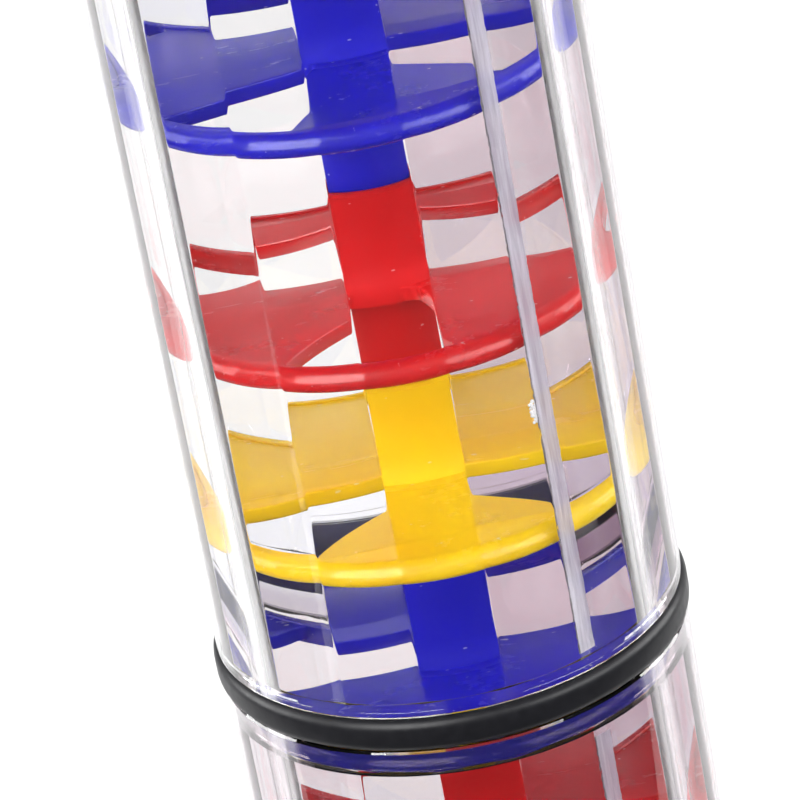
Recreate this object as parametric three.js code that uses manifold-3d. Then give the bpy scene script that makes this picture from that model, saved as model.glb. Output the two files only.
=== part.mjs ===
// Clear-tube rainstick: two clear tube halves joined under a black ring, a spine of coloured
// discs plugged into each other, two end caps and loose beads that fall from disc to disc.
// Millimetres, +Z up, standing on the bottom cap, origin at the middle of its flat face.
import * as THREE from 'three';
import { mergeVertices } from 'three/addons/utils/BufferGeometryUtils.js';
import Module from 'manifold-3d';

const wasm = await Module();
wasm.setup();

// ---------- driving dimensions ----------
const LENGTH = 400;
const JOINT_Z = LENGTH / 2;
const GAP = 0.3;
const SNUG = 0.15;

const TUBE_R = 25;
const BORE_SIDES = 18;
const BORE_CORNER_R = 23.9;
const TUBE_SEGMENTS = 54;

const LIP_OUTER_R = 24.2;
const LIP_INNER_R = 23.45;
const LIP_LENGTH = 6.7;
const COUNTERBORE_R = 24.4;
const ROUND_MOUTH = 1.3;

const RING_HEIGHT = 3.7;
const RING_OUTER_R = 25.45;
const RING_INNER_R = 24.4;
const RING_EDGE_ROUND = 0.35;

const PITCH = 22.4;
const FIRST_UPPER_DISC = 16.3;
const LONG_STEP = 3.5;
const UPPER_DISCS = 7;
const LOWER_DISCS = 8;

const HOOP_OUTER_R = 22.5;
const HOOP_INNER_R = 20.7;
const HOOP_HEIGHT = 2.4;
const HOOP_BULGE = 0.35;
const HOOP_SEGMENTS = 30;
const PLATE_BOTTOM = 0.5;
const PLATE_THICKNESS = 1.7;
const HUB_R = 4;
const HUB_HEIGHT = 3.4;

const POST_R = 3;
const POST_TOP = 12.8;
const SOCKET_R = 2.05;
const SOCKET_DEPTH = 7.3;
const SPIGOT_R = 1.75;
const SPIGOT_LENGTH = 16.5;
const POST_SEGMENTS = 10;

const CAP_R = 26.4;
const CAP_HEIGHT = 16;
const CAP_FLOOR = 4;
const CAP_ROUND = 4;
const CAP_SKIRT_INNER_R = 25.3;
const CAP_COLLAR_OUTER_R = 23.2;
const CAP_COLLAR_INNER_R = 22.2;
const CAP_COLLAR_HEIGHT = 5;
const CAP_SEGMENTS = 36;

const BEAD_R = 2;
const BEAD_RINGS = [
  { radius: 19.8, count: 9 },
  { radius: 14.2, count: 6 },
  { radius: 8.4, count: 3 },
];

// Openings in the discs. An edge is a straight line that leaves the hub towards an angle in
// degrees and passes the axis at a signed distance to its left. A window lies between its two
// edges, anticlockwise from the first to the second. The four patterns are used in turn.
const edge = (angle, offset = 0) => ({ angle, offset });
const WINDOW_PATTERNS = [
  [[edge(208, 0.9), edge(251)], [edge(322, -2), edge(363, -0.8)], [edge(75), edge(144, -0.5)]],
  [[edge(-7, -0.2), edge(56)], [edge(125), edge(163, 1.7)], [edge(238, -0.2), edge(286)]],
  [[edge(190, 0.2), edge(235)], [edge(315, -2), edge(358, -1.9)], [edge(70), edge(110)]],
  [[edge(5), edge(75)], [edge(146), edge(181, 2.1)]],
];
const COLOUR_ORDER = ['blue', 'red', 'yellow'];

const MATERIALS = {
  clear: new THREE.MeshStandardMaterial({
    color: 0xf2f2f6, roughness: 0.05, metalness: 0, transparent: true, opacity: 0.3,
  }),
  rubber: new THREE.MeshStandardMaterial({ color: 0x232126, roughness: 0.45, metalness: 0 }),
  blue: new THREE.MeshStandardMaterial({ color: 0x241eaf, roughness: 0.3, metalness: 0 }),
  red: new THREE.MeshStandardMaterial({ color: 0xc81c1e, roughness: 0.3, metalness: 0 }),
  yellow: new THREE.MeshStandardMaterial({ color: 0xf8c414, roughness: 0.3, metalness: 0 }),
};

// ---------- solids ----------
function toSolid(geometry) {
  const bare = geometry.clone();
  bare.deleteAttribute('normal');
  bare.deleteAttribute('uv');
  const merged = mergeVertices(bare, 1e-4);
  const index = merged.index.array;
  const triangles = [];
  for (let i = 0; i < index.length; i += 3) {
    const [a, b, c] = [index[i], index[i + 1], index[i + 2]];
    if (a !== b && b !== c && c !== a) triangles.push(a, b, c);
  }
  const mesh = new wasm.Mesh({
    numProp: 3,
    vertProperties: new Float32Array(merged.attributes.position.array),
    triVerts: new Uint32Array(triangles),
  });
  return new wasm.Manifold(mesh);
}

function toGeometry(solid) {
  const mesh = solid.getMesh();
  const geometry = new THREE.BufferGeometry();
  geometry.setAttribute('position', new THREE.BufferAttribute(mesh.vertProperties, 3));
  geometry.setIndex(new THREE.BufferAttribute(mesh.triVerts, 1));
  geometry.computeVertexNormals();
  return geometry;
}

// A turned solid about Z. The outline is a list of [radius, height] points that runs up the
// outside; it starts and ends on the axis, or it is closed back to its first point.
function turned(outline, segments) {
  const points = outline.map(([radius, height]) => new THREE.Vector2(radius, height));
  const closesOnAxis = points[0].x === 0;
  if (!closesOnAxis) points.push(points[0].clone());
  const geometry = new THREE.LatheGeometry(points, segments);
  geometry.rotateX(Math.PI / 2);
  return toSolid(geometry);
}

function tubeBlank(outerR, bottom, top, segments) {
  return turned([[0, bottom], [outerR, bottom], [outerR, top], [0, top]], segments);
}

// A straight prism with regular sides and one corner on +X.
function regularPrism(cornerR, sides, bottom, top) {
  const geometry = new THREE.CylinderGeometry(cornerR, cornerR, top - bottom, sides);
  geometry.rotateX(Math.PI / 2);
  geometry.rotateZ(-Math.PI / 2);
  geometry.translate(0, 0, (top + bottom) / 2);
  return toSolid(geometry);
}

function arcPoints(radius, fromDegrees, toDegrees, stepDegrees = 9) {
  const steps = Math.max(1, Math.ceil(Math.abs(toDegrees - fromDegrees) / stepDegrees));
  return Array.from({ length: steps + 1 }, (_, i) => {
    const angle = THREE.MathUtils.degToRad(fromDegrees + ((toDegrees - fromDegrees) * i) / steps);
    return new THREE.Vector2(radius * Math.cos(angle), radius * Math.sin(angle));
  });
}

// The angle at which an edge meets a circle about the axis.
function edgeAngle({ angle, offset }, radius) {
  return angle + THREE.MathUtils.radToDeg(Math.asin(offset / radius));
}

function windowPrism([from, to], innerR, outerR, bottom, top) {
  const outline = [
    ...arcPoints(outerR, edgeAngle(from, outerR), edgeAngle(to, outerR), 30),
    ...arcPoints(innerR, edgeAngle(to, innerR), edgeAngle(from, innerR), 60),
  ];
  const geometry = new THREE.ExtrudeGeometry(new THREE.Shape(outline), {
    depth: top - bottom, bevelEnabled: false,
  });
  geometry.translate(0, 0, bottom);
  return toSolid(geometry);
}

// ---------- pieces ----------
function upperTube() {
  const shoulder = JOINT_Z + RING_HEIGHT / 2 + SNUG;
  const lipEnd = shoulder - LIP_LENGTH;
  const top = LENGTH - CAP_FLOOR - GAP;
  const mouth = shoulder + ROUND_MOUTH;
  return tubeBlank(TUBE_R, shoulder, top, TUBE_SEGMENTS)
    .add(tubeBlank(LIP_OUTER_R, lipEnd, shoulder + 1, TUBE_SEGMENTS))
    .subtract(tubeBlank(LIP_INNER_R, lipEnd - 1, mouth, TUBE_SEGMENTS))
    .subtract(regularPrism(BORE_CORNER_R, BORE_SIDES, mouth, top + 1));
}

function lowerTube() {
  const shoulder = JOINT_Z - RING_HEIGHT / 2 - SNUG;
  const lipEnd = JOINT_Z + RING_HEIGHT / 2 + SNUG - LIP_LENGTH;
  const seat = lipEnd - GAP;
  const bottom = CAP_FLOOR + GAP;
  return tubeBlank(TUBE_R, bottom, shoulder, TUBE_SEGMENTS)
    .subtract(tubeBlank(COUNTERBORE_R, seat, shoulder + 1, TUBE_SEGMENTS))
    .subtract(regularPrism(BORE_CORNER_R, BORE_SIDES, bottom - 1, seat + 1));
}

function centreRing() {
  const half = RING_HEIGHT / 2;
  return turned([
    [RING_INNER_R, -half],
    [RING_OUTER_R - RING_EDGE_ROUND, -half],
    [RING_OUTER_R, -half + RING_EDGE_ROUND],
    [RING_OUTER_R, half - RING_EDGE_ROUND],
    [RING_OUTER_R - RING_EDGE_ROUND, half],
    [RING_INNER_R, half],
  ], TUBE_SEGMENTS);
}

function hoop() {
  return turned([
    [HOOP_INNER_R, 0],
    [HOOP_OUTER_R - HOOP_BULGE, 0],
    [HOOP_OUTER_R, HOOP_HEIGHT / 2],
    [HOOP_OUTER_R - HOOP_BULGE, HOOP_HEIGHT],
    [HOOP_INNER_R, HOOP_HEIGHT],
  ], HOOP_SEGMENTS);
}

// The spine stretch of one disc: spigot below, hub in the plate, socketed post above.
function spine() {
  return turned([
    [0, -SPIGOT_LENGTH],
    [SPIGOT_R, -SPIGOT_LENGTH],
    [SPIGOT_R, PLATE_BOTTOM],
    [HUB_R, PLATE_BOTTOM],
    [HUB_R, HUB_HEIGHT],
    [POST_R, HUB_HEIGHT],
    [POST_R, POST_TOP],
    [SOCKET_R, POST_TOP],
    [SOCKET_R, POST_TOP - SOCKET_DEPTH],
    [0, POST_TOP - SOCKET_DEPTH],
  ], POST_SEGMENTS);
}

// The windows are cut right through the plate's edge, so that the hoop's inner wall bounds them.
function disc(windows) {
  const plateTop = PLATE_BOTTOM + PLATE_THICKNESS;
  const plateR = (HOOP_OUTER_R + HOOP_INNER_R) / 2;
  let plate = tubeBlank(plateR, PLATE_BOTTOM, plateTop, HOOP_SEGMENTS);
  for (const window of windows) {
    const cutter = windowPrism(window, HUB_R * 0.8, HOOP_OUTER_R * 1.3, PLATE_BOTTOM - 1, plateTop + 1);
    plate = plate.subtract(cutter);
  }
  return plate.add(hoop()).add(spine());
}

function capOutline() {
  const rounded = arcPoints(CAP_ROUND, -90, 0, 30)
    .map((point) => [CAP_R - CAP_ROUND + point.x, CAP_ROUND + point.y]);
  return [
    [0, 0],
    ...rounded,
    [CAP_R, CAP_HEIGHT - 0.5],
    [CAP_R - 0.5, CAP_HEIGHT],
    [CAP_SKIRT_INNER_R, CAP_HEIGHT],
    [CAP_SKIRT_INNER_R, CAP_FLOOR],
    [CAP_COLLAR_OUTER_R, CAP_FLOOR],
    [CAP_COLLAR_OUTER_R, CAP_FLOOR + CAP_COLLAR_HEIGHT],
    [CAP_COLLAR_INNER_R, CAP_FLOOR + CAP_COLLAR_HEIGHT],
    [CAP_COLLAR_INNER_R, CAP_FLOOR],
    [POST_R, CAP_FLOOR],
  ];
}

function bottomCap(socketTop) {
  return turned([
    ...capOutline(),
    [POST_R, socketTop],
    [SOCKET_R, socketTop],
    [SOCKET_R, socketTop - SOCKET_DEPTH],
    [0, socketTop - SOCKET_DEPTH],
  ], CAP_SEGMENTS);
}

// Modelled upright like the bottom cap; it is turned over when it is placed.
function topCap(shoulder, spigotEnd) {
  return turned([
    ...capOutline(),
    [POST_R, shoulder],
    [SPIGOT_R, shoulder],
    [SPIGOT_R, spigotEnd],
    [0, spigotEnd],
  ], CAP_SEGMENTS);
}

// ---------- assembly ----------
const rainstick = new THREE.Group();

function place(name, solid, material, z = 0) {
  const mesh = new THREE.Mesh(toGeometry(solid), MATERIALS[material]);
  mesh.name = name;
  mesh.position.z = z;
  rainstick.add(mesh);
  return mesh;
}

place('upper_tube', upperTube(), 'clear');
place('lower_tube', lowerTube(), 'clear');
place('centre_ring', centreRing(), 'rubber', JOINT_Z);

// Colours and window patterns each run in turn, downwards from the third disc above the joint.
function inTurn(list, discIndex) {
  const below = LOWER_DISCS + 2 - discIndex;
  return list[THREE.MathUtils.euclideanModulo(below, list.length)];
}

// Discs are numbered from the bottom. The step between the second and third disc above the
// joint is longer than the others, because that spigot is not pushed fully home.
const lowestDiscZ = JOINT_Z + FIRST_UPPER_DISC - LOWER_DISCS * PITCH;
const discSolids = WINDOW_PATTERNS.map(disc);
let topDiscZ = lowestDiscZ;
for (let i = 0; i < LOWER_DISCS + UPPER_DISCS; i += 1) {
  const colour = inTurn(COLOUR_ORDER, i);
  const name = `disc_${String(i + 1).padStart(2, '0')}_${colour}`;
  topDiscZ = lowestDiscZ + i * PITCH + (i >= LOWER_DISCS + 2 ? LONG_STEP : 0);
  place(name, inTurn(discSolids, i), colour, topDiscZ);
}

place('bottom_cap', bottomCap(lowestDiscZ - PITCH + POST_TOP), 'red');
const topPlaneDepth = LENGTH - (topDiscZ + PITCH);
const topCapMesh = place('top_cap', topCap(topPlaneDepth, topPlaneDepth + SPIGOT_LENGTH), 'red', LENGTH);
topCapMesh.rotation.x = Math.PI;

let beadNumber = 0;
for (const { radius, count } of BEAD_RINGS) {
  for (let i = 0; i < count; i += 1) {
    const angle = (2 * Math.PI * (i + 0.5)) / count;
    beadNumber += 1;
    const colour = COLOUR_ORDER[beadNumber % COLOUR_ORDER.length];
    const ball = toSolid(new THREE.IcosahedronGeometry(BEAD_R, 1));
    const mesh = place(`bead_${String(beadNumber).padStart(2, '0')}`, ball, colour);
    mesh.position.set(radius * Math.cos(angle), radius * Math.sin(angle), CAP_FLOOR + GAP + BEAD_R);
  }
}

export default rainstick;
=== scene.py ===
import math
import random

import bmesh
import bpy
from mathutils import Matrix, Vector

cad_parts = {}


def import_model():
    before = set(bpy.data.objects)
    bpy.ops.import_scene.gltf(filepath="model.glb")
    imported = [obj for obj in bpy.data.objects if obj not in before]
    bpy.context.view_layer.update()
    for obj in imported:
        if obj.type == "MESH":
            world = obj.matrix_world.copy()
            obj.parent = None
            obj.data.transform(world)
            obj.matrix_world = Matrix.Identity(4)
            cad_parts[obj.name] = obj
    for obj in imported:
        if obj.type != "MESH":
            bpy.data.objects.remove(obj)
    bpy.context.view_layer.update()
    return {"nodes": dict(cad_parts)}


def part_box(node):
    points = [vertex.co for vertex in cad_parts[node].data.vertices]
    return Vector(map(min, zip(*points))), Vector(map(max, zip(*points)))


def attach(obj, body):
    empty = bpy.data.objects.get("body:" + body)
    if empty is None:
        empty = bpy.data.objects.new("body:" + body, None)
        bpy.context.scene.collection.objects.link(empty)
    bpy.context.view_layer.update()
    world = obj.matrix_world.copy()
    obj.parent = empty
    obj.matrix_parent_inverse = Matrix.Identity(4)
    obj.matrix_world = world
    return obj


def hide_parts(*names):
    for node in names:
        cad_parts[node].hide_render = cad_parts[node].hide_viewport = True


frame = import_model()

# ---------- sizes of the object, in metres ----------
MM = 0.001
LENGTH = 400 * MM
JOINT_Z = 200 * MM
GAP = 0.3 * MM
SNUG = 0.15 * MM

TUBE_R = 25 * MM
RIM_ROUND = 0.2 * MM
BORE_SIDES = 18
BORE_CORNER_R = 23.87 * MM
BORE_CORNER_ROUND = 0.8 * MM
FLAT_STEPS = 14
LIP_OUTER_R = 24.2 * MM
LIP_INNER_R = 23.45 * MM
LIP_LENGTH = 6.7 * MM
COUNTERBORE_R = 24.4 * MM
ROUND_MOUTH = 1.3 * MM

RING_HEIGHT = 3.7 * MM
RING_OUTER_R = 25.45 * MM
RING_INNER_R = 24.4 * MM

HOOP_OUTER_R = 22.5 * MM
HOOP_INNER_R = 20.7 * MM
HOOP_HEIGHT = 2.4 * MM
PLATE_BOTTOM = 0.5 * MM
PLATE_TOP = 2.2 * MM
PLATE_EDGE_ROUND = 0.2 * MM
WIDE_WINDOW = 60
WIDE_INNER_ROUND = 2.5 * MM
INNER_ROUND = 1.2 * MM
OUTER_ROUND = 0.8 * MM
HUB_R = 4 * MM
POST_R = 3 * MM
POST_TOP = 12.8 * MM
FOOT_R = HUB_R + 0.05 * MM
FOOT_SLOPE = 33
SOCKET_R = 2.05 * MM
SOCKET_DEPTH = 7.3 * MM
SPIGOT_R = 1.75 * MM
SPIGOT_LENGTH = 16.5 * MM
TURN_STEPS = 144

CAP_R = 26.4 * MM
CAP_HEIGHT = 16 * MM
CAP_FLOOR = 4 * MM
CAP_ROUND = 4 * MM
CAP_SKIRT_INNER_R = 25.3 * MM
CAP_COLLAR_OUTER_R = 23.2 * MM
CAP_COLLAR_INNER_R = 22.2 * MM
CAP_COLLAR_HEIGHT = 5 * MM

BEAD_R = 2 * MM
BEAD_COLOURS = ("red", "yellow", "blue")

SEAM_FLAT = -50
SEAM_ACROSS = (-3.9 * MM, -2.0 * MM)
SEAM_DEPTH = 0.02 * MM
SEAM_WOBBLE = 0.04 * MM
SEAM_LINE_OVERLAP = 0.15 * MM
SEAM_LINE_WIDTH = 0.4 * MM
SEAM_LINE_DEPTH = 0.06 * MM
SEAM_LINE_WOBBLE = 0.09 * MM
STRIP_STEP = 0.5 * MM
STRIP_THICKNESS = 0.03 * MM
CRYSTALS_Z = JOINT_Z + 32 * MM
CRYSTAL_DEPTH = 0.25 * MM
CRYSTAL_COUNT = 150

# Windows of the four disc patterns: each has two edges, and each edge is an angle in degrees and the
# signed distance in mm at which the edge passes the axis. The patterns run in turn downwards.
WINDOW_PATTERNS = [
    [((208, 0.9), (251, 0)), ((322, -2), (363, -0.8)), ((75, 0), (144, -0.5))],
    [((-7, -0.2), (56, 0)), ((125, 0), (163, 1.7)), ((238, -0.2), (286, 0))],
    [((190, 0.2), (235, 0)), ((315, -2), (358, -1.9)), ((70, 0), (110, 0))],
    [((5, 0), (75, 0)), ((146, 0), (181, 2.1))],
]
FIRST_PATTERN_DISC = 11

# ---------- camera ----------
CAMERA_DISTANCE = 0.58588
CAMERA_ELEVATION = 26.2
CAMERA_TARGET_Z = JOINT_Z + 26 * MM
CAMERA_ROLL = 10.742
CAMERA_PAN = -0.1
CAMERA_LENS = 253.2


# ---------- shader helpers ----------
def new_material(name):
    material = bpy.data.materials.new(name)
    material.use_nodes = True
    tree = material.node_tree
    return material, tree, tree.nodes["Principled BSDF"]


def object_place(tree, scale=(1, 1, 1)):
    coordinates = tree.nodes.new("ShaderNodeTexCoord")
    mapping = tree.nodes.new("ShaderNodeMapping")
    mapping.inputs["Scale"].default_value = scale
    tree.links.new(coordinates.outputs["Object"], mapping.inputs["Vector"])
    return mapping.outputs["Vector"]


def noise(tree, place, scale, detail=3.0, roughness=0.5):
    node = tree.nodes.new("ShaderNodeTexNoise")
    node.inputs["Scale"].default_value = scale
    node.inputs["Detail"].default_value = detail
    node.inputs["Roughness"].default_value = roughness
    tree.links.new(place, node.inputs["Vector"])
    return node.outputs[0]


def remap(tree, value, low_in, high_in, low_out, high_out):
    node = tree.nodes.new("ShaderNodeMapRange")
    node.inputs["From Min"].default_value = low_in
    node.inputs["From Max"].default_value = high_in
    node.inputs["To Min"].default_value = low_out
    node.inputs["To Max"].default_value = high_out
    tree.links.new(value, node.inputs["Value"])
    return node.outputs["Result"]


def bump(tree, height, strength, distance):
    node = tree.nodes.new("ShaderNodeBump")
    node.inputs["Strength"].default_value = strength
    node.inputs["Distance"].default_value = distance
    tree.links.new(height, node.inputs["Height"])
    return node.outputs["Normal"]


def mixed(tree, factor, first, second):
    node = tree.nodes.new("ShaderNodeMix")
    node.data_type = "RGBA"
    tree.links.new(factor, node.inputs[0])
    for socket, value in ((node.inputs[6], first), (node.inputs[7], second)):
        if isinstance(value, tuple):
            socket.default_value = (*value, 1)
        else:
            tree.links.new(value, socket)
    return node.outputs[2]


def axis_value(tree, axis):
    split = tree.nodes.new("ShaderNodeSeparateXYZ")
    tree.links.new(object_place(tree), split.inputs["Vector"])
    return split.outputs[axis]


def axis_distance(tree):
    """Distance from the object's own Z axis."""
    node = tree.nodes.new("ShaderNodeVectorMath")
    node.operation = "LENGTH"
    tree.links.new(object_place(tree, (1, 1, 0)), node.inputs[0])
    return node.outputs["Value"]


def math_node(tree, operation, first, second=None):
    node = tree.nodes.new("ShaderNodeMath")
    node.operation = operation
    tree.links.new(first, node.inputs[0])
    if second is not None:
        tree.links.new(second, node.inputs[1])
    return node.outputs[0]


def times(tree, first, second):
    return math_node(tree, "MULTIPLY", first, second)


# ---------- materials ----------
def coloured_plastic(name, deep, bright):
    """Moulded plastic with colour drift, pale dust and rub marks: matt at the post, glossy outside it."""
    material, tree, shader = new_material(name)
    place = object_place(tree)
    drift = mixed(tree, remap(tree, noise(tree, place, 70, 2), 0.35, 0.65, 0, 1), deep, bright)
    specks = remap(tree, noise(tree, place, 1500, 1), 0.76, 0.79, 0, 0.6)
    pale = tuple(0.45 + 0.55 * channel for channel in bright)
    tree.links.new(mixed(tree, specks, drift, pale), shader.inputs["Base Color"])
    rub = noise(tree, object_place(tree, (1, 1, 3)), 260, 6, 0.7)
    distance = axis_distance(tree)
    matt = remap(tree, distance, 4.4 * MM, 5.5 * MM, 0.28, 0)
    roughness = math_node(tree, "ADD", remap(tree, rub, 0.3, 0.7, 0.2, 0.3), matt)
    tree.links.new(roughness, shader.inputs["Roughness"])
    polish = remap(tree, distance, 4.4 * MM, 5.5 * MM, 0.12, 0.42)
    tree.links.new(polish, shader.inputs["Specular IOR Level"])
    tree.links.new(bump(tree, rub, 0.02, 0.0001), shader.inputs["Normal"])
    shader.inputs["IOR"].default_value = 1.5
    return material


def clear_plastic():
    """Clear plastic: scratched, with painted grey bands that stand in for light trapped in the wall, less
    clear near the sides, and a painted pinkish reflection towards +X that also tints the lower tube.
    """
    material, tree, shader = new_material("clear_tube_plastic")
    shader.inputs["IOR"].default_value = 1.596
    x, y, z = (axis_value(tree, axis) for axis in "XYZ")
    streaks = noise(tree, object_place(tree, (1, 1, 0.12)), 160, 3)
    fine_streaks = noise(tree, object_place(tree, (1, 1, 0.05)), 1400, 3, 0.6)

    # Painted reflection: the pinkish tint towards the rear and +X, streaked near the far right edge, stands
    # in for a pinkish reflection seen through the tube. The same tint is laid at 0.28 over the lower tube.
    rear = remap(tree, y, 2 * MM, 8 * MM, 0, 1)
    right = remap(tree, x, 1.5 * MM, 6 * MM, 0, 1)
    near_joint = remap(tree, z, JOINT_Z + 8 * MM, JOINT_Z + 22 * MM, 1, 0.8)
    patchy = times(tree, near_joint, remap(tree, streaks, 0.3, 0.7, 0.75, 1))
    painted_reflection_tint = times(tree, times(tree, rear, right), patchy)
    far_right = remap(tree, x, 20.8 * MM, 22 * MM, 0, 0.36)
    painted_edge_reflection = times(tree, far_right, remap(tree, fine_streaks, 0.4, 0.6, 0.2, 1))
    lower_half = remap(tree, z, JOINT_Z - 3 * MM, JOINT_Z - MM, 0.28, 0)
    total = math_node(tree, "MAXIMUM", math_node(tree, "MAXIMUM", painted_reflection_tint, painted_edge_reflection), lower_half)
    tint = mixed(tree, total, (0.99, 0.985, 0.99), (0.52, 0.39, 0.465))
    tree.links.new(tint, shader.inputs["Base Color"])

    # Painted grey bands: less transmission in upright bands at |x| 19.1–21 mm on the front stands in for
    # the grey bands that light trapped in the tube wall gives. Near the sides the plastic is also made less
    # clear.
    outward = math_node(tree, "ABSOLUTE", x)
    line_start = remap(tree, outward, 19.1 * MM, 19.5 * MM, 0, 1)
    line_end = remap(tree, outward, 20.6 * MM, 21.0 * MM, 1, 0)
    front = remap(tree, y, -MM, 0, 1, 0)
    line = times(tree, times(tree, times(tree, line_start, line_end), front), fine_streaks)
    painted_bands_and_sides = math_node(tree, "MAXIMUM", line, remap(tree, outward, 22.8 * MM, 24.2 * MM, 0, 0.3))
    tree.links.new(remap(tree, painted_bands_and_sides, 0, 0.6, 1, 0.74), shader.inputs["Transmission Weight"])
    scratches = noise(tree, object_place(tree, (1, 1, 0.12)), 1800, 2, 0.6)
    tree.links.new(remap(tree, scratches, 0.6, 0.85, 0.0, 0.04), shader.inputs["Roughness"])
    return material


def black_rubber():
    material, tree, shader = new_material("ring_rubber")
    grain = noise(tree, object_place(tree), 900, 4, 0.6)
    colour = mixed(tree, grain, (0.004, 0.004, 0.005), (0.008, 0.008, 0.010))
    tree.links.new(colour, shader.inputs["Base Color"])
    tree.links.new(remap(tree, grain, 0.3, 0.7, 0.34, 0.44), shader.inputs["Roughness"])
    shader.inputs["Specular IOR Level"].default_value = 0.2
    tree.links.new(bump(tree, grain, 0.2, 0.0001), shader.inputs["Normal"])
    return material


COLOURS = {
    "blue": ((0.010, 0.007, 0.45), (0.014, 0.010, 0.57)),
    "red": ((0.56, 0.006, 0.008), (0.70, 0.010, 0.012)),
    "yellow": ((0.91, 0.55, 0.004), (0.96, 0.68, 0.008)),
}
PLASTICS = {name: coloured_plastic(name + "_disc_plastic", *pair) for name, pair in COLOURS.items()}
CLEAR = clear_plastic()
RUBBER = black_rubber()


# ---------- mesh helpers ----------
def add_object(name, mesh, material, smooth_angle=35):
    piece = bpy.data.objects.new(name, mesh)
    bpy.context.scene.collection.objects.link(piece)
    mesh.materials.clear()
    mesh.materials.append(material)
    mesh.polygons.foreach_set("use_smooth", [True] * len(mesh.polygons))
    mesh.set_sharp_from_angle(angle=math.radians(smooth_angle))
    return piece


def mesh_of_loops(name, loops, closed):
    """Quads between loops with equal numbers of points. A closed shape joins its last loop to its first."""
    count = len(loops[0])
    vertices = [point for loop in loops for point in loop]
    faces = []
    for a in range(len(loops) if closed else len(loops) - 1):
        b = (a + 1) % len(loops)
        for i in range(count):
            j = (i + 1) % count
            faces.append((a * count + i, a * count + j, b * count + j, b * count + i))
    mesh = bpy.data.meshes.new(name)
    mesh.from_pydata(vertices, [], faces)
    tidy_mesh(mesh)
    return mesh


def tidy_mesh(mesh):
    work = bmesh.new()
    work.from_mesh(mesh)
    bmesh.ops.remove_doubles(work, verts=work.verts, dist=1e-7)
    bmesh.ops.dissolve_degenerate(work, edges=work.edges, dist=1e-8)
    bmesh.ops.recalc_face_normals(work, faces=work.faces)
    work.to_mesh(mesh)
    work.free()


def circle(radius, z, angles):
    return [(radius * math.cos(a), radius * math.sin(a), z) for a in angles]


def turned(name, outline, steps=TURN_STEPS):
    """A solid turned about Z from (radius, height) points that start and end on the axis or close up."""
    angles = [2 * math.pi * k / steps for k in range(steps)]
    loops = [circle(radius, z, angles) for radius, z in outline]
    return mesh_of_loops(name, loops, closed=outline[0][0] > 0)


def arc(centre, radius, start, end, steps=6):
    """(radius, height) points along an arc, from a start to an end angle in degrees."""
    points = []
    for k in range(steps + 1):
        angle = math.radians(start + (end - start) * k / steps)
        points.append((centre[0] + radius * math.cos(angle), centre[1] + radius * math.sin(angle)))
    return points


def arc_chain(start, angle, parts):
    """(radius, height) points along arcs that join smoothly. Each part is a radius and an end angle."""
    points = [start]
    for radius, end in parts:
        turn = math.radians(angle)
        centre = (points[-1][0] - radius * math.cos(turn), points[-1][1] - radius * math.sin(turn))
        points += arc(centre, radius, angle, end)[1:]
        angle = end
    return points


def joined(name, meshes):
    work = bmesh.new()
    for mesh in meshes:
        work.from_mesh(mesh)
    result = bpy.data.meshes.new(name)
    work.to_mesh(result)
    work.free()
    return result


# ---------- clear tubes ----------
def bore_points():
    """Angle and radius of points round the bore: straight flats joined by small arcs."""
    half = math.pi / BORE_SIDES
    apothem = BORE_CORNER_R * math.cos(half)
    reach = BORE_CORNER_ROUND * math.tan(half)
    flat = apothem * math.tan(half) - reach
    centre_r = BORE_CORNER_R - BORE_CORNER_ROUND / math.cos(half)
    points = []
    for side in range(BORE_SIDES):
        middle = half + 2 * half * side
        fractions = [-1, -0.97] + [-0.9 + 1.8 * k / FLAT_STEPS for k in range(FLAT_STEPS + 1)] + [0.97, 1]
        for fraction in fractions:
            across = flat * fraction
            points.append((middle + math.atan2(across, apothem), math.hypot(across, apothem)))
        corner = middle + half
        for k in (1, 2, 3):
            turn = corner + half * (k / 2 - 1)
            x = centre_r * math.cos(corner) + BORE_CORNER_ROUND * math.cos(turn)
            y = centre_r * math.sin(corner) + BORE_CORNER_ROUND * math.sin(turn)
            points.append((corner + math.atan2(
                y * math.cos(corner) - x * math.sin(corner),
                x * math.cos(corner) + y * math.sin(corner)), math.hypot(x, y)))
    return points


BORE = bore_points()
BORE_ANGLES = [angle for angle, _ in BORE]


def bore_loop(z):
    return [(radius * math.cos(angle), radius * math.sin(angle), z) for angle, radius in BORE]


def round_loop(radius, z):
    return circle(radius, z, BORE_ANGLES)


def upper_tube():
    shoulder = JOINT_Z + RING_HEIGHT / 2 + SNUG
    lip_end = shoulder - LIP_LENGTH
    top = LENGTH - CAP_FLOOR - GAP
    mouth = shoulder + ROUND_MOUTH
    return mesh_of_loops("upper_tube_clear", [
        round_loop(LIP_OUTER_R - RIM_ROUND, lip_end),
        round_loop(LIP_OUTER_R, lip_end + RIM_ROUND),
        round_loop(LIP_OUTER_R, shoulder),
        round_loop(TUBE_R - RIM_ROUND, shoulder),
        round_loop(TUBE_R, shoulder + RIM_ROUND),
        round_loop(TUBE_R, top - RIM_ROUND),
        round_loop(TUBE_R - RIM_ROUND, top),
        bore_loop(top),
        bore_loop(mouth),
        round_loop(LIP_INNER_R, mouth),
        round_loop(LIP_INNER_R, lip_end + RIM_ROUND),
        round_loop(LIP_INNER_R + RIM_ROUND, lip_end),
    ], closed=True)


def lower_tube():
    shoulder = JOINT_Z - RING_HEIGHT / 2 - SNUG
    seat = JOINT_Z + RING_HEIGHT / 2 + SNUG - LIP_LENGTH - GAP
    bottom = CAP_FLOOR + GAP
    return mesh_of_loops("lower_tube_clear", [
        round_loop(TUBE_R - RIM_ROUND, bottom),
        round_loop(TUBE_R, bottom + RIM_ROUND),
        round_loop(TUBE_R, shoulder - RIM_ROUND),
        round_loop(TUBE_R - RIM_ROUND, shoulder),
        round_loop(COUNTERBORE_R, shoulder),
        round_loop(COUNTERBORE_R, seat),
        bore_loop(seat),
        bore_loop(bottom),
    ], closed=True)


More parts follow.
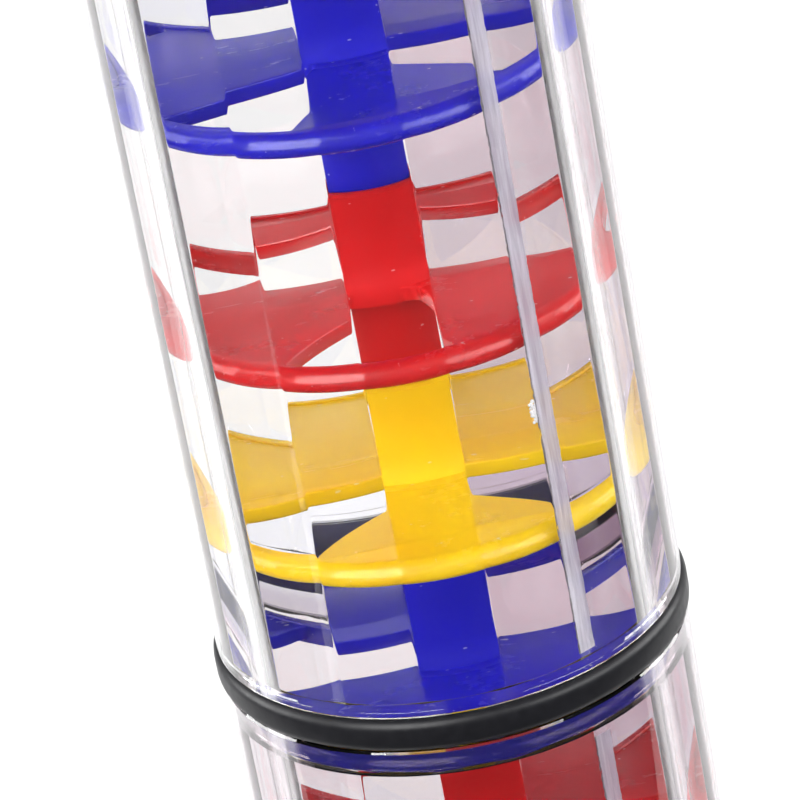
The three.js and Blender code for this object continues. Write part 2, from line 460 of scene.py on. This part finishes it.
# ---------- discs ----------
def fillet(angle, offset, side, circle_r, radius, inwards):
    """The arc that rounds the corner between a window edge and a circle about the axis.

    It runs from the edge to the circle. Side is +1 when the window lies to the left of the edge.
    """
    along = Vector((math.cos(angle), math.sin(angle)))
    left = Vector((-along.y, along.x))
    reach = circle_r - radius if inwards else circle_r + radius
    middle_offset = offset + side * radius
    distance = math.sqrt(reach ** 2 - middle_offset ** 2)
    middle = left * middle_offset + along * distance
    start = left * offset + along * distance - middle
    end = middle.normalized() * circle_r - middle
    turn = math.atan2(start.x * end.y - start.y * end.x, start.dot(end))
    points = []
    for k in range(7):
        spoke = Matrix.Rotation(turn * k / 6, 2) @ start
        points.append(middle + spoke)
    return points


def window_outline(first, last):
    (start, start_offset), (end, end_offset) = first, last
    inner_round = WIDE_INNER_ROUND if end - start > WIDE_WINDOW else INNER_ROUND
    start, end = math.radians(start), math.radians(end)
    start_offset, end_offset = start_offset * MM, end_offset * MM
    begin_in = fillet(start, start_offset, 1, HUB_R, inner_round, False)
    begin_out = fillet(start, start_offset, 1, HOOP_INNER_R, OUTER_ROUND, True)
    finish_out = fillet(end, end_offset, -1, HOOP_INNER_R, OUTER_ROUND, True)
    finish_in = fillet(end, end_offset, -1, HUB_R, inner_round, False)
    outline = list(reversed(begin_in)) + begin_out
    outline += arc_between(begin_out[-1], finish_out[-1], 1)
    outline += list(reversed(finish_out)) + finish_in
    outline += arc_between(finish_in[-1], begin_in[-1], -1)
    return outline


def arc_between(start, end, turn_sign):
    """Points on an arc about the axis between two points, without them."""
    first = math.atan2(start.y, start.x)
    sweep = (turn_sign * (math.atan2(end.y, end.x) - first)) % (2 * math.pi)
    steps = max(2, int(sweep / math.radians(3)))
    angles = [first + turn_sign * sweep * k / steps for k in range(1, steps)]
    return [Vector((math.cos(angle), math.sin(angle))) * start.length for angle in angles]


def plate(windows):
    """A flat plate with rounded edges, made as a filled curve with the windows as holes."""
    curve = bpy.data.curves.new("plate", "CURVE")
    curve.dimensions = "2D"
    curve.fill_mode = "BOTH"
    curve.extrude = (PLATE_TOP - PLATE_BOTTOM) / 2 - PLATE_EDGE_ROUND
    curve.bevel_depth = PLATE_EDGE_ROUND
    curve.bevel_resolution = 2
    curve.offset = -PLATE_EDGE_ROUND
    rim_r = (HOOP_INNER_R + HOOP_OUTER_R) / 2
    outlines = [[Vector((rim_r * math.cos(math.radians(3 * k)), rim_r * math.sin(math.radians(3 * k))))
                 for k in range(120)]]
    outlines += [window_outline(*window) for window in windows]
    for outline in outlines:
        spline = curve.splines.new("POLY")
        spline.points.add(len(outline) - 1)
        for point, place in zip(spline.points, outline):
            point.co = (place.x, place.y, 0, 1)
        spline.use_cyclic_u = True
    holder = bpy.data.objects.new("plate", curve)
    mesh = bpy.data.meshes.new_from_object(holder)
    bpy.data.objects.remove(holder)
    bpy.data.curves.remove(curve)
    mesh.transform(Matrix.Translation((0, 0, (PLATE_BOTTOM + PLATE_TOP) / 2)))
    tidy_mesh(mesh)
    return mesh


def hoop():
    """The rim hoop. Its outside leans back above its widest line."""
    middle = HOOP_HEIGHT / 2
    low_round = 0.7 * MM
    edge = 0.12 * MM
    outside = arc_chain((HOOP_OUTER_R - low_round, 0), -90, ((low_round, 5), (2 * MM, 40), (1.48 * MM, 90)))
    return turned("hoop", [
        (HOOP_INNER_R + edge, 0),
        *outside,
        (HOOP_INNER_R + edge, HOOP_HEIGHT),
        (HOOP_INNER_R, HOOP_HEIGHT - edge),
        (HOOP_INNER_R, middle),
        (HOOP_INNER_R, edge),
    ])


def spine():
    """Spigot, foot and post in one. The foot covers the plate's inner edge and curves up into the post."""
    tip = 0.3 * MM
    slope = math.radians(FOOT_SLOPE)
    flare_r = (FOOT_R - POST_R) / (1 - math.cos(slope))
    flare_centre = (POST_R + flare_r, PLATE_TOP + flare_r * math.sin(slope))
    return turned("spine", [
        (0, -SPIGOT_LENGTH),
        (SPIGOT_R - tip, -SPIGOT_LENGTH),
        (SPIGOT_R, -SPIGOT_LENGTH + tip),
        (SPIGOT_R, PLATE_BOTTOM),
        (FOOT_R, PLATE_BOTTOM),
        *arc(flare_centre, flare_r, 180 + FOOT_SLOPE, 180),
        (POST_R, POST_TOP - tip),
        (POST_R - tip, POST_TOP),
        (SOCKET_R + tip / 2, POST_TOP),
        (SOCKET_R, POST_TOP - tip / 2),
        (SOCKET_R, POST_TOP - SOCKET_DEPTH),
        (0, POST_TOP - SOCKET_DEPTH),
    ], 96)


def disc_meshes():
    return [joined(f"disc_pattern_{k + 1}", [plate(windows), hoop(), spine()])
            for k, windows in enumerate(WINDOW_PATTERNS)]


# ---------- ring, caps, beads ----------
def ring():
    half = RING_HEIGHT / 2
    face_round = 1.1 * MM
    return turned("ring", [
        (RING_INNER_R, -half),
        *arc((RING_OUTER_R - face_round, -half + face_round), face_round, -90, 0),
        *arc((RING_OUTER_R - face_round, half - face_round), face_round, 0, 90),
        (RING_INNER_R, half),
    ], 288)


def cap_outline():
    rim = 0.5 * MM
    return [
        (0, 0),
        *arc((CAP_R - CAP_ROUND, CAP_ROUND), CAP_ROUND, -90, 0, 12),
        *arc((CAP_R - rim, CAP_HEIGHT - rim), rim, 0, 90),
        (CAP_SKIRT_INNER_R, CAP_HEIGHT),
        (CAP_SKIRT_INNER_R, CAP_FLOOR),
        (CAP_COLLAR_OUTER_R, CAP_FLOOR),
        (CAP_COLLAR_OUTER_R, CAP_FLOOR + CAP_COLLAR_HEIGHT),
        (CAP_COLLAR_INNER_R, CAP_FLOOR + CAP_COLLAR_HEIGHT),
        (CAP_COLLAR_INNER_R, CAP_FLOOR),
        (POST_R, CAP_FLOOR),
    ]


def bottom_cap(socket_top):
    return turned("bottom_cap_cup", cap_outline() + [
        (POST_R, socket_top),
        (SOCKET_R, socket_top),
        (SOCKET_R, socket_top - SOCKET_DEPTH),
        (0, socket_top - SOCKET_DEPTH),
    ])


def top_cap(shoulder, spigot_end):
    mesh = turned("top_cap_cup", cap_outline() + [
        (POST_R, shoulder),
        (SPIGOT_R, shoulder),
        (SPIGOT_R, spigot_end),
        (0, spigot_end),
    ])
    mesh.transform(Matrix.Translation((0, 0, LENGTH)) @ Matrix.Rotation(math.pi, 4, "X"))
    return mesh


def bead():
    work = bmesh.new()
    bmesh.ops.create_icosphere(work, subdivisions=4, radius=BEAD_R)
    mesh = bpy.data.meshes.new("bead")
    work.to_mesh(mesh)
    work.free()
    return mesh


# ---------- seam ----------
SEAM_DICE = random.Random(7)


def seam_plastic():
    """Frosted lavender line where the tube's two shells meet."""
    material, tree, shader = new_material("seam_frosted")
    streaks = noise(tree, object_place(tree, (1, 1, 0.06)), 900, 4, 0.6)
    tone = remap(tree, streaks, 0.35, 0.65, 0, 1)
    tree.links.new(mixed(tree, tone, (0.60, 0.55, 0.66), (0.80, 0.77, 0.86)), shader.inputs["Base Color"])
    shader.inputs["Roughness"].default_value = 0.3
    tree.links.new(remap(tree, streaks, 0.4, 0.7, 0.55, 0.95), shader.inputs["Alpha"])
    return material


def dark_line_plastic():
    material, tree, shader = new_material("seam_dark_edge")
    grain = noise(tree, object_place(tree, (1, 1, 0.5)), 2500, 3, 0.7)
    tree.links.new(mixed(tree, grain, (0.03, 0.028, 0.03), (0.4, 0.36, 0.4)), shader.inputs["Base Color"])
    tree.links.new(remap(tree, grain, 0.5, 0.62, 1.0, 0.0), shader.inputs["Alpha"])
    shader.inputs["Roughness"].default_value = 0.5
    return material


def crystal_plastic():
    material, tree, shader = new_material("seam_crystals")
    grain = noise(tree, object_place(tree), 3000, 3, 0.7)
    tree.links.new(mixed(tree, grain, (0.9, 0.9, 0.92), (1, 1, 1)), shader.inputs["Base Color"])
    shader.inputs["Roughness"].default_value = 0.25
    return material


def flat_point(azimuth, across, depth):
    """A point on the bore flat that faces an azimuth: across it in metres, and depth inwards from it."""
    apothem = BORE_CORNER_R * math.cos(math.pi / BORE_SIDES) - depth
    angle = math.radians(azimuth)
    outward = Vector((math.cos(angle), math.sin(angle)))
    sideways = Vector((-outward.y, outward.x))
    return outward * apothem + sideways * across


def strip(name, azimuth, start, end, depth, bottom, top, wobble=0.0):
    """A thin upright strip on one flat of the bore; its edges can be uneven."""
    steps = int((top - bottom) / STRIP_STEP)
    vertices, faces = [], []
    for k in range(steps + 1):
        z = bottom + (top - bottom) * k / steps
        left = start + SEAM_DICE.uniform(-wobble, wobble)
        right = end + SEAM_DICE.uniform(-wobble, wobble)
        inner = depth + STRIP_THICKNESS
        for across, inwards in ((left, depth), (right, depth), (right, inner), (left, inner)):
            place = flat_point(azimuth, across, inwards)
            vertices.append((place.x, place.y, z))
    for k in range(steps):
        for i in range(4):
            j = (i + 1) % 4
            faces.append((4 * k + i, 4 * k + j, 4 * k + 4 + j, 4 * k + 4 + i))
    faces.append((3, 2, 1, 0))
    faces.append(tuple(4 * steps + i for i in range(4)))
    mesh = bpy.data.meshes.new(name)
    mesh.from_pydata(vertices, [], faces)
    tidy_mesh(mesh)
    return mesh


def crystals(azimuth, across, z):
    """A small cluster of clear grains stuck to the bore."""
    work = bmesh.new()
    for _ in range(CRYSTAL_COUNT):
        place = flat_point(azimuth, across + SEAM_DICE.gauss(0, 0.3) * MM, CRYSTAL_DEPTH)
        height = z + SEAM_DICE.gauss(0, 0.6) * MM
        turn = Matrix.Rotation(SEAM_DICE.uniform(0, math.pi), 4, (1, 2, 3))
        size = SEAM_DICE.uniform(0.1, 0.24) * MM
        matrix = Matrix.Translation((place.x, place.y, height)) @ turn
        bmesh.ops.create_icosphere(work, subdivisions=1, radius=size, matrix=matrix)
    mesh = bpy.data.meshes.new("crystals")
    work.to_mesh(mesh)
    work.free()
    return mesh


# ---------- assembly ----------
def fit_piece(piece, node, body="rainstick"):
    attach(piece, body)
    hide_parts(node)
    return piece


def colour_of(node):
    return node.rsplit("_", 1)[1]


def nodes_called(start):
    return sorted(name for name in frame["nodes"] if name.startswith(start))


def add_tubes_and_ring():
    for node, mesh, material, slot in (
        ("upper_tube", upper_tube(), CLEAR, "clear_plastic"),
        ("lower_tube", lower_tube(), CLEAR, "clear_plastic"),
        ("centre_ring", ring(), RUBBER, "black_rubber"),
    ):
        piece = add_object(node + "_fine", mesh, material, 25)
        if node == "centre_ring":
            piece.location.z = JOINT_Z
        fit_piece(piece, node)


def add_discs():
    """One fine disc for each CAD disc. The heights of their hoops' lower faces are returned."""
    patterns = disc_meshes()
    heights = []
    for node in nodes_called("disc_"):
        number = int(node.split("_")[1])
        spigot_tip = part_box(node)[0][2]
        heights.append(spigot_tip + SPIGOT_LENGTH)
        mesh = patterns[(FIRST_PATTERN_DISC - number) % len(patterns)].copy()
        piece = add_object(node + "_fine", mesh, PLASTICS[colour_of(node)])
        piece.location.z = heights[-1]
        fit_piece(piece, node)
    return heights


def add_cap(node, mesh):
    piece = add_object(node + "_fine", mesh, PLASTICS["red"])
    fit_piece(piece, node)


def add_beads():
    mesh = bead()
    for index, node in enumerate(nodes_called("bead_")):
        low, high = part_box(node)
        colour = BEAD_COLOURS[index % len(BEAD_COLOURS)]
        piece = add_object(node + "_fine", mesh.copy(), PLASTICS[colour])
        piece.location = [(a + b) / 2 for a, b in zip(low, high)]
        fit_piece(piece, node, node + "_body")


def add_seam():
    """Seam band and dark line in each half of the tube, and the crystals on the upper line."""
    band_plastic, line_plastic, grain_plastic = seam_plastic(), dark_line_plastic(), crystal_plastic()
    cap_clear = CAP_FLOOR + CAP_COLLAR_HEIGHT + MM
    line_start = SEAM_ACROSS[0] - SEAM_LINE_OVERLAP
    line_end = line_start + SEAM_LINE_WIDTH
    for half, bottom, top in (
        ("lower", cap_clear, JOINT_Z - 6 * MM),
        ("upper", JOINT_Z + 4 * MM, LENGTH - cap_clear),
    ):
        band = strip("seam_band", SEAM_FLAT, *SEAM_ACROSS, SEAM_DEPTH, bottom, top, SEAM_WOBBLE)
        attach(add_object(f"{half}_seam_band", band, band_plastic), "rainstick")
        line = strip(
            "seam_line", SEAM_FLAT, line_start, line_end, SEAM_LINE_DEPTH, bottom, top, SEAM_LINE_WOBBLE)
        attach(add_object(f"{half}_seam_line", line, line_plastic), "rainstick")
    grains = crystals(SEAM_FLAT, SEAM_ACROSS[0], CRYSTALS_Z)
    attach(add_object("seam_crystals", grains, grain_plastic), "rainstick")


add_tubes_and_ring()
disc_heights = add_discs()
top_disc_step = disc_heights[1] - disc_heights[0]
add_cap("bottom_cap", bottom_cap(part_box("bottom_cap")[1][2]))
add_cap("top_cap", top_cap(LENGTH - disc_heights[-1] - top_disc_step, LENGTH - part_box("top_cap")[0][2]))
add_beads()
add_seam()


# ---------- studio ----------
def studio_material(name, colour, roughness=0.6):
    material, tree, shader = new_material(name)
    tone = noise(tree, object_place(tree), 3, 2)
    soft = tuple(0.985 * channel for channel in colour)
    tree.links.new(mixed(tree, tone, colour, soft), shader.inputs["Base Color"])
    shader.inputs["Roughness"].default_value = roughness
    return material


def sheet(name, corners, colour):
    mesh = bpy.data.meshes.new(name)
    mesh.from_pydata(corners, [], [range(len(corners))])
    piece = bpy.data.objects.new(name, mesh)
    bpy.context.scene.collection.objects.link(piece)
    mesh.materials.append(studio_material(name + "_paper", colour, 0.9))


def backdrop():
    """A white floor and wall. The floor widens like a fan, so the tube's sides mirror no bright floor."""
    front, back, side, top = -0.06, 2.6, 2.2, 2.2
    front_side, fan_end = 0.25, 1.4
    white = (0.4, 0.4, 0.4)
    left_edge = [(-side, back, 0), (-side, fan_end, 0), (-front_side, front, 0)]
    right_edge = [(front_side, front, 0), (side, fan_end, 0), (side, back, 0)]
    sheet("floor", left_edge + right_edge, white)
    sheet("wall", [(-side, back, 0), (side, back, 0), (side, back, top), (-side, back, top)], white)


def area_light(name, place, aim, size, power, colour=(1, 1, 1)):
    data = bpy.data.lights.new(name, "AREA")
    data.shape = "RECTANGLE"
    data.size, data.size_y = size
    data.energy = power
    data.color = colour
    light = bpy.data.objects.new(name, data)
    light.location = place
    light.rotation_euler = (Vector(aim) - Vector(place)).to_track_quat("-Z", "Y").to_euler()
    bpy.context.scene.collection.objects.link(light)


def world(strength):
    shade = bpy.data.worlds.new("studio")
    shade.use_nodes = True
    background = shade.node_tree.nodes["Background"]
    background.inputs["Color"].default_value = (1, 1, 1, 1)
    background.inputs["Strength"].default_value = strength
    bpy.context.scene.world = shade


def camera():
    data = bpy.data.cameras.new("camera")
    data.lens = CAMERA_LENS
    data.clip_start = 0.05
    eye = bpy.data.objects.new("camera", data)
    elevation, roll, pan = (math.radians(a) for a in (CAMERA_ELEVATION, CAMERA_ROLL, CAMERA_PAN))
    ahead = Vector((0, math.cos(elevation), -math.sin(elevation)))
    right = Vector((1, 0, 0))
    up = Vector((0, math.sin(elevation), math.cos(elevation)))
    panned = ahead * math.cos(pan) + right * math.sin(pan)
    right = right * math.cos(pan) - ahead * math.sin(pan)
    ahead = panned
    side = right * math.cos(roll) - up * math.sin(roll)
    top = right * math.sin(roll) + up * math.cos(roll)
    turn = Matrix((side, top, -ahead)).transposed().to_4x4()
    place = Vector((0, -math.cos(elevation), math.sin(elevation))) * CAMERA_DISTANCE
    place.z += CAMERA_TARGET_Z
    eye.matrix_world = Matrix.Translation(place) @ turn
    bpy.context.scene.collection.objects.link(eye)
    bpy.context.scene.camera = eye


backdrop()
world(0.08)
area_light("key", (-0.95, -1.4, 1.3), (0, 0, 0.2), (1.4, 1.6), 92)
area_light("fill", (1.3, -1.0, 1.0), (0, 0, 0.2), (1.4, 1.0), 40)
area_light("left", (-1.5, 0.4, 0.75), (0, 0, 0.2), (1.2, 0.9), 36)
area_light("right", (1.5, 0.4, 0.75), (0, 0, 0.2), (1.2, 0.9), 35)
area_light("overhead", (0, 1.3, 1.9), (0, 1.2, 0.0), (3.0, 2.0), 44)
camera()

scene = bpy.context.scene
scene.view_settings.view_transform = "Standard"
scene.cycles.transmission_bounces = 24
scene.cycles.max_bounces = 32
scene.cycles.transparent_max_bounces = 16
